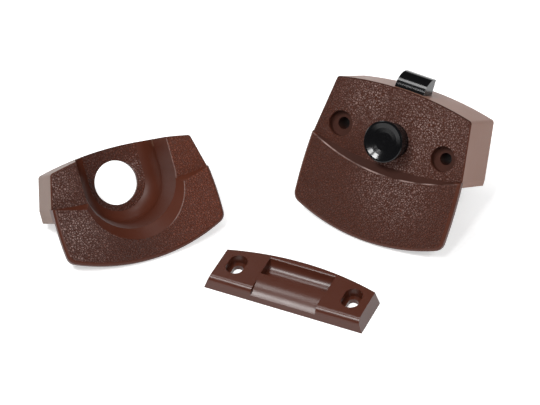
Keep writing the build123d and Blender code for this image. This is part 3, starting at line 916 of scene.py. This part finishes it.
        # Painted shade in the recesses and, with a crest, in the cove.
        tone = graph.blend(surface.deep, tone, self.paint(self.deep_share))
        if self.crest is not None:
            # Painted highlight along the lip's crest.
            edge = self.crest.mask(graph, surface.plate, drift)
            tone = graph.blend(edge, tone, opaque(self.glint))
        if self.rim is not None:
            # Painted highlight along the scoop's right edge.
            edge = graph.times(self.rim.mask(graph, surface.plate, drift), surface.square)
            tone = graph.blend(edge, tone, opaque(self.glint))
        # Painted light: the outside walls are painted paler than the faces.
        return graph.blend(surface.outside, tone, opaque(self.wall))

    def side_lit(self, graph: Graph, surface: Surface) -> Socket:
        """The painted light towards the plate's right side: in full on the grain, less on smooth surfaces.

        Args:
            graph: the material's node graph.
            surface: the effects and the masks.

        Returns:
            A mask.
        """
        start, end = self.side_light_across
        cover = graph.math("MULTIPLY_ADD", surface.grained, 1.0 - self.smooth_side_light, self.smooth_side_light)
        return graph.times(graph.ramp(surface.plate.outputs["Across"], low=start, high=end), cover)

    def dullness(self, graph: Graph, surface: Surface) -> Socket:
        """The roughness: lower where the grain's painted highlights are strong, higher in recesses.

        Args:
            graph: the material's node graph.
            surface: the effects and the masks.

        Returns:
            The roughness.
        """
        cloud = surface.variety.outputs["Cloud"]
        satin = graph.span(cloud, low=self.roughness + 0.04, high=self.roughness + 0.14)
        grained = graph.span(surface.sheen, low=self.roughness + 0.06, high=self.roughness - 0.12)
        rough = graph.between(surface.grained, satin, grained)
        return graph.math("MULTIPLY_ADD", surface.deep, self.deep_roughness, rough)

    def normal(self, graph: Graph, surface: Surface) -> Socket:
        """The relief of the grain, with a faint ripple everywhere.

        Args:
            graph: the material's node graph.
            surface: the effects and the masks.

        Returns:
            The normal.
        """
        grain = graph.times(surface.grain.outputs["Height"], surface.grained)
        height = graph.math("MULTIPLY_ADD", surface.variety.outputs["Ripple"], self.ripple, grain)
        return graph.bump(height, strength=1.0, distance=self.relief)


@dataclass(frozen=True)
class SatinMoulding(Finish):
    """Smooth satin plastic with slow cloudiness and rare specks.

    Args:
        ripple: height of the fine ripple, in metres.
        cloud: how far the colour drifts either way, as a share.
        specular: the shader's specular level.
        speck_cover: how much the specks cover the colour.
        speck_share: how light the specks are, as a share.
    """

    ripple: float = 0.00003
    cloud: float = 0.08
    specular: float = 0.5
    speck_cover: float = 0.25
    speck_share: float = 1.5

    def dress(self, graph: Graph, shader: bpy.types.Node) -> None:
        """A cloudy colour, a cloudy roughness and a fine ripple.

        Args:
            graph: the material's node graph.
            shader: the material's shader.
        """
        where = graph.node("ShaderNodeTexCoord")
        variety = SurfaceVariety().place(graph, Position=graph.millimetres(where.outputs["Object"]))
        cloud, ripple = variety.outputs["Cloud"], variety.outputs["Ripple"]
        shade = graph.blend(cloud, self.paint(1 - self.cloud), self.paint(1 + self.cloud))
        specks = graph.times(variety.outputs["Speck"], self.speck_cover)
        graph.feed(shader.inputs["Base Color"], graph.blend(specks, shade, self.paint(self.speck_share)))
        rough = graph.span(cloud, low=self.roughness - 0.06, high=self.roughness + 0.06)
        graph.feed(shader.inputs["Roughness"], rough)
        graph.feed(shader.inputs["Normal"], graph.bump(ripple, strength=0.5, distance=self.ripple))
        shader.inputs["Specular IOR Level"].default_value = self.specular


@dataclass(frozen=True)
class DrawnMetal(Finish):
    """Bare or plated metal with fine streaks in its roughness.

    Args:
        cloud_size: size of the cloudiness, in millimetres.
        ripple: height of the fine ripple, in metres.
    """

    cloud_size: float = 2.0
    ripple: float = 0.00002

    def dress(self, graph: Graph, shader: bpy.types.Node) -> None:
        """A metal with a streaky roughness and a slightly cloudy colour.

        Args:
            graph: the material's node graph.
            shader: the material's shader.
        """
        where = graph.node("ShaderNodeTexCoord")
        place = graph.millimetres(where.outputs["Object"])
        variety = SurfaceVariety().place(graph, Position=place, Cloud_size=self.cloud_size)
        cloud, ripple = variety.outputs["Cloud"], variety.outputs["Ripple"]
        graph.feed(shader.inputs["Base Color"], graph.blend(cloud, self.paint(0.85), self.paint(1.1)))
        shader.inputs["Metallic"].default_value = 1.0
        rough = graph.span(ripple, low=self.roughness - 0.1, high=self.roughness + 0.1)
        graph.feed(shader.inputs["Roughness"], rough)
        graph.feed(shader.inputs["Normal"], graph.bump(ripple, strength=0.3, distance=self.ripple))


BROWN = (0.074, 0.0190, 0.0092)
OUTER_BROWN = (0.062, 0.0145, 0.0065)


def cover_node(target: bpy.types.Object, finish: Finish) -> None:
    """Puts one finish on a carried-over solid.

    Args:
        target: the solid.
        finish: what it wears.
    """
    target.data.materials.clear()
    target.data.materials.append(finish.material())
    LOG.info("%s wears %s", target.name, finish.name)


@dataclass
class InnerHousing:
    """The indoor half: grained housing, its cover and barrel, and the cover's screws.

    Args:
        nodes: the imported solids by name.
        shell: finish of the housing.
        cover: finish of the cover and its barrel.
        screws: finish of the screws.
        screw_count: how many screws hold the cover.
    """

    nodes: dict[str, bpy.types.Object]
    shell: MouldedBrown = MouldedBrown(
        name="Inner grain",
        colour=BROWN,
        roughness=0.34,
        frame=INNER_FRAME,
        deep_below=25.5,
        wall_across=30.5,
        wall_up=16.5,
        lip_underside=25.6,
        lip_start=-6.9,
        # Where the grain's painted highlights are strongest.
        patches=(SheenPatch(14.0, 12.0, 36.0), SheenPatch(-14.0, 14.0, 20.0), SheenPatch(8.0, -17.0, 26.0)),
        crest=LipCrest(lowest=-14.6, rise=8.0, half_width=36.0),
    )
    cover: SatinMoulding = SatinMoulding("Cover satin", BROWN, 0.42)
    screws: DrawnMetal = DrawnMetal("Zinc plate", (0.62, 0.61, 0.58), 0.35)
    screw_count: int = 4

    def dress(self) -> None:
        """Gives the housing, its cover and the screws their finishes."""
        cover_node(self.nodes["inner_housing"], self.shell)
        cover_node(self.nodes["back_plate"], self.cover)
        for number in range(1, self.screw_count + 1):
            cover_node(self.nodes[f"back_plate_screw_{number}"], self.screws)


@dataclass(frozen=True)
class CoilSpring:
    """A compression spring of round wire, with closed ends.

    Args:
        node: the CAD node that it stands for.
        joint: the joint that shortens it; not used.
        seat: its fixed end in the plate's frame, in millimetres across, along and out.
        towards: the plate's direction in which it reaches from its seat.
        length: relaxed length, in millimetres.
        diameter: outside diameter, in millimetres.
        wire: the wire's diameter, in millimetres.
        travel: how far the joint shortens it, in millimetres; not used.
        turns: turns in all, with one closed turn at each end.
        closed_pitch: rise of a closed turn, in diameters of the wire.
        steps: rings of points in one turn.
        corners: points in one ring.
    """

    node: str
    joint: str
    seat: Point
    towards: Axis
    length: float
    diameter: float
    wire: float
    travel: float = 6.8
    turns: int = 8
    closed_pitch: float = 1.05
    steps: int = 24
    corners: int = 8

    def rise(self, turn: float) -> float:
        """Height of the wire's middle above the seat.

        Args:
            turn: turns from the seat.

        Returns:
            The height, in millimetres.
        """
        closed = self.wire * self.closed_pitch
        free = self.length - self.wire - 2 * closed
        if turn < 1:
            return self.wire / 2 + closed * turn
        if turn > self.turns - 1:
            return self.length - self.wire / 2 - closed * (self.turns - turn)
        return self.wire / 2 + closed + free * (turn - 1) / (self.turns - 2)

    def points(self, place: Vector, basis: tuple[Vector, Vector, Vector]) -> list[Vector]:
        """The rings of points along the wire.

        Args:
            place: the seat, in metres.
            basis: two directions across the spring and the one along it.

        Returns:
            One ring of points after another.
        """
        side, other, reach = basis
        middle = (self.diameter - self.wire) / 2
        made = []
        for step in range(self.turns * self.steps + 1):
            turn = step / self.steps
            spoke = side * math.cos(math.tau * turn) + other * math.sin(math.tau * turn)
            for corner in range(self.corners):
                lean = math.tau * corner / self.corners
                radius = middle + self.wire / 2 * math.cos(lean)
                height = self.rise(turn) + self.wire / 2 * math.sin(lean)
                made.append(place + (spoke * radius + reach * height) / MM_PER_METRE)
        return made

    def faces(self) -> list[tuple[int, ...]]:
        """Four-sided faces between neighbouring rings, and one at each end of the wire.

        Returns:
            The faces, as the numbers of their points.
        """
        made = []
        for step in range(self.turns * self.steps):
            low, high = step * self.corners, (step + 1) * self.corners
            for corner in range(self.corners):
                after = (corner + 1) % self.corners
                made.append((low + corner, high + corner, high + after, low + after))
        last = self.turns * self.steps * self.corners
        made.append(tuple(range(self.corners)))
        made.append(tuple(last + corner for corner in reversed(range(self.corners))))
        return made

    def build(self, frame: PlateFrame, finish: Finish) -> None:
        """Makes the spring in place of its node and attaches it to the housing's body.

        Args:
            frame: the frame of the plate that the spring sits in.
            finish: the wire's finish.
        """
        basis = frame.basis(self.towards)
        place = frame.place(self.seat)
        name = f"{self.node}_coil"
        mesh = bpy.data.meshes.new(name)
        mesh.from_pydata(self.points(place, basis), [], self.faces())
        mesh.shade_smooth()
        coil = bpy.data.objects.new(name, mesh)
        bpy.context.scene.collection.objects.link(coil)
        mesh.materials.append(finish.material())
        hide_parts(self.node)
        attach(coil, "housing")
        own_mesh(coil)
        LOG.info("%s stands for %s", name, self.node)


BUTTON_SPRING = CoilSpring(
    node="button_spring",
    joint="button_press",
    seat=(0.0, 0.0, -23.45),
    towards=Axis.OUT,
    length=22.4,
    diameter=10.6,
    wire=0.9,
)


def bolt_spring(number: int, across: float) -> CoilSpring:
    """One of the coils beside the bolt's tail.

    Args:
        number: which of them it is.
        across: how far across the plate it is, in millimetres.

    Returns:
        The coil.
    """
    return CoilSpring(
        node=f"bolt_spring_{number}",
        joint="bolt_retract",
        seat=(across, -13.25, 13.1),
        towards=Axis.ALONG,
        length=17.2,
        diameter=4.2,
        wire=0.6,
    )


@dataclass
class ButtonAndBolt:
    """What moves: the dished button with its rod, the bolt, and their three springs.

    Args:
        nodes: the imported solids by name.
        gloss: finish of the button and the bolt.
        rod: finish of the button's rod.
        wire: finish of the springs.
        springs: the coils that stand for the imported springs.
    """

    nodes: dict[str, bpy.types.Object]
    gloss: SatinMoulding = SatinMoulding(
        "Gloss black", (0.0045, 0.0045, 0.005), 0.14, ripple=0.0000004, cloud=0.1, specular=0.3
    )
    rod: SatinMoulding = SatinMoulding("Rod black", (0.012, 0.012, 0.012), 0.38)
    wire: DrawnMetal = DrawnMetal("Spring wire", (0.42, 0.42, 0.43), 0.3)
    springs: tuple[CoilSpring, ...] = (BUTTON_SPRING, bolt_spring(1, -8.7), bolt_spring(2, 8.7))

    def dress(self) -> None:
        """Gives the moving pieces their finishes and builds the springs."""
        for name in ("push_button", "latch_bolt"):
            cover_node(self.nodes[name], self.gloss)
        cover_node(self.nodes["plunger_rod"], self.rod)
        for spring in self.springs:
            cover_node(self.nodes[spring.node], self.wire)
            spring.build(INNER_FRAME, self.wire)


@dataclass
class OuterHousing:
    """The outdoor half: the housing with its thumb scoop.

    Args:
        nodes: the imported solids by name.
        shell: finish of the housing.
    """

    nodes: dict[str, bpy.types.Object]
    shell: MouldedBrown = MouldedBrown(
        name="Outer grain",
        colour=OUTER_BROWN,
        roughness=0.34,
        frame=OUTER_FRAME,
        deep_below=-1.0,
        wall_across=29.0,
        wall_up=10.3,
        lip_underside=17.2,
        lip_start=-2.9,
        # Where the grain's painted highlights are strongest.
        patches=(SheenPatch(-29.0, -14.0, 22.0), SheenPatch(-30.0, 6.0, 14.0), SheenPatch(10.0, 3.0, 9.0)),
        rim=ScoopRim(middle=0.6, radius=20.2, face=20.5),
        # Painted light: the walls are painted paler than the faces.
        wall=(0.140, 0.070, 0.043),
        # Painted light: lighter towards the face's right side.
        side_light=1.2,
    )

    def dress(self) -> None:
        """Gives the housing its finish."""
        cover_node(self.nodes["outer_housing"], self.shell)


@dataclass
class StrikePlate:
    """The plate for the door frame, smooth all over.

    Args:
        nodes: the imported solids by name.
        satin: finish of the plate.
    """

    nodes: dict[str, bpy.types.Object]
    satin: SatinMoulding = SatinMoulding(
        "Strike satin", (0.068, 0.0175, 0.009), 0.3, ripple=0.00004, cloud=0.08, specular=0.4
    )

    def dress(self) -> None:
        """Gives the plate its finish."""
        cover_node(self.nodes["strike_plate"], self.satin)


@dataclass(frozen=True)
class Softbox:
    """One rectangular studio lamp.

    Args:
        name: what the lamp is for.
        place: where it stands, in metres.
        size: width and height, in metres.
        power: watts.
        aim: the point that it looks at, in metres.
    """

    name: str
    place: Point
    size: tuple[float, float]
    power: float
    aim: Point = (0.0, 0.03, 0.02)

    def build(self) -> None:
        """Makes the lamp and turns it to its aim."""
        data = bpy.data.lights.new(self.name, "AREA")
        data.shape = "RECTANGLE"
        data.size, data.size_y = self.size
        data.energy = self.power
        lamp = bpy.data.objects.new(self.name, data)
        bpy.context.scene.collection.objects.link(lamp)
        lamp.location = self.place
        look = Vector(self.aim) - Vector(self.place)
        lamp.rotation_euler = look.to_track_quat("-Z", "Y").to_euler()


@dataclass
class Studio:
    """White floor, pale surroundings, the lamps and the camera.

    Args:
        floor_half: half the floor's side, in metres.
        floor_colour: the floor's own colour.
        floor_glow: light that the floor adds where the camera, a gloss or a glass sees it.
        horizon_height: height above the horizon, from 0 to 1, at which its pale band has ended.
        sky_glow: light of the surroundings above that band.
        horizon_glow: what the band adds to it.
        sky_mirrored: what a gloss sees of the surroundings above the band.
        horizon_mirrored: what the band adds to that.
        camera_place: where the camera stands, in metres.
        camera_pitch: degrees up from looking straight down.
        lens: focal length, in millimetres.
        sensor: sensor width, in millimetres.
        softboxes: the lamps.
    """

    floor_half: float = 6.0
    floor_colour: Colour = (0.82, 0.82, 0.82)
    floor_glow: float = 0.5
    horizon_height: float = 0.14
    sky_glow: float = 0.42
    horizon_glow: float = 0.2
    sky_mirrored: float = 0.02
    horizon_mirrored: float = 0.8
    camera_place: Point = (-0.0098, -0.9135, 0.8274)
    camera_pitch: float = 49.54
    lens: float = 200.0
    sensor: float = 36.0
    softboxes: tuple[Softbox, ...] = (
        Softbox("Key", place=(-0.50, -0.36, 1.03), size=(0.22, 0.22), power=6.3),
        Softbox("Front window", place=(-0.30, -0.60, 1.00), size=(0.14, 0.26), power=3.6),
        Softbox("Right window", place=(0.60, -0.52, 0.94), size=(0.30, 0.30), power=3.6),
        Softbox("Top window", place=(-0.25, 0.28, 1.10), size=(0.34, 0.16), power=2.4),
        Softbox("Back light", place=(-0.40, 1.15, 0.95), size=(0.5, 0.4), power=1.8, aim=(0.03, 0.05, 0.02)),
    )

    def build(self) -> None:
        """Makes the floor, the surroundings, the lamps and the camera."""
        self.build_floor()
        self.build_world()
        for softbox in self.softboxes:
            softbox.build()
        self.build_camera()

    def build_floor(self) -> None:
        """A white sheet that keeps the shadow and shows white to the camera."""
        half = self.floor_half
        mesh = bpy.data.meshes.new("Floor")
        corners = [(-half, -half, 0), (half, -half, 0), (half, half, 0), (-half, half, 0)]
        mesh.from_pydata(corners, [], [(0, 1, 2, 3)])
        floor = bpy.data.objects.new("Floor", mesh)
        bpy.context.scene.collection.objects.link(floor)
        mesh.materials.append(self.paper())

    def paper(self) -> bpy.types.Material:
        """Matt white that glows a little where the camera, a gloss or a glass sees it.

        Returns:
            The floor's material.
        """
        made = bpy.data.materials.new("White paper")
        made.use_nodes = True
        made.node_tree.nodes.clear()
        graph = Graph(made.node_tree)
        matt = graph.node("ShaderNodeBsdfDiffuse", Color=opaque(self.floor_colour))
        path = graph.node("ShaderNodeLightPath")
        seen = graph.math("MAXIMUM", path.outputs["Is Camera Ray"], path.outputs["Is Glossy Ray"])
        seen = graph.math("MAXIMUM", seen, path.outputs["Is Transmission Ray"])
        glow = graph.node("ShaderNodeEmission", Strength=graph.times(seen, self.floor_glow))
        both = graph.node("ShaderNodeAddShader")
        graph.feed(both.inputs[0], matt.outputs["BSDF"])
        graph.feed(both.inputs[1], glow.outputs["Emission"])
        graph.node("ShaderNodeOutputMaterial", Surface=both.outputs["Shader"])
        return made

    def build_world(self) -> None:
        """Soft light from all round, white to the camera, with a pale band that a gloss mirrors."""
        world = bpy.data.worlds.new("Surroundings")
        bpy.context.scene.world = world
        world.use_nodes = True
        world.node_tree.nodes.clear()
        graph = Graph(world.node_tree)
        path = graph.node("ShaderNodeLightPath")
        seen = graph.math("MAXIMUM", path.outputs["Is Camera Ray"], path.outputs["Is Transmission Ray"])
        where = graph.node("ShaderNodeTexCoord")
        height = graph.dot(where.outputs["Generated"], (0.0, 0.0, 1.0))
        horizon = graph.math("SUBTRACT", 1.0, graph.ramp(height, low=0.0, high=self.horizon_height))
        mirrored = graph.math("MULTIPLY_ADD", horizon, self.horizon_mirrored, self.sky_mirrored)
        soft = graph.math("MULTIPLY_ADD", horizon, self.horizon_glow, self.sky_glow)
        unseen = graph.between(path.outputs["Is Glossy Ray"], soft, mirrored)
        back = graph.node("ShaderNodeBackground", Strength=graph.between(seen, unseen, 1.0))
        graph.node("ShaderNodeOutputWorld", Surface=back.outputs["Background"])

    def build_camera(self) -> None:
        """The camera at the photograph's viewing angle."""
        data = bpy.data.cameras.new("Camera")
        data.lens = self.lens
        data.sensor_width = self.sensor
        data.sensor_fit = "HORIZONTAL"
        camera = bpy.data.objects.new("Camera", data)
        bpy.context.scene.collection.objects.link(camera)
        camera.location = self.camera_place
        camera.rotation_euler = (math.radians(self.camera_pitch), 0.0, 0.0)
        bpy.context.scene.camera = camera


def main() -> None:
    """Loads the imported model, dresses each sub-assembly and sets the studio round it."""
    logging.basicConfig(level=logging.INFO, format="%(name)s: %(message)s")
    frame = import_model()
    nodes = frame["nodes"]
    for assembly in (InnerHousing(nodes), ButtonAndBolt(nodes), OuterHousing(nodes), StrikePlate(nodes)):
        assembly.dress()
        LOG.info("%s is dressed", type(assembly).__name__)
    Studio().build()
    bpy.context.scene.view_settings.view_transform = "Standard"


if __name__ == "__main__":
    main()
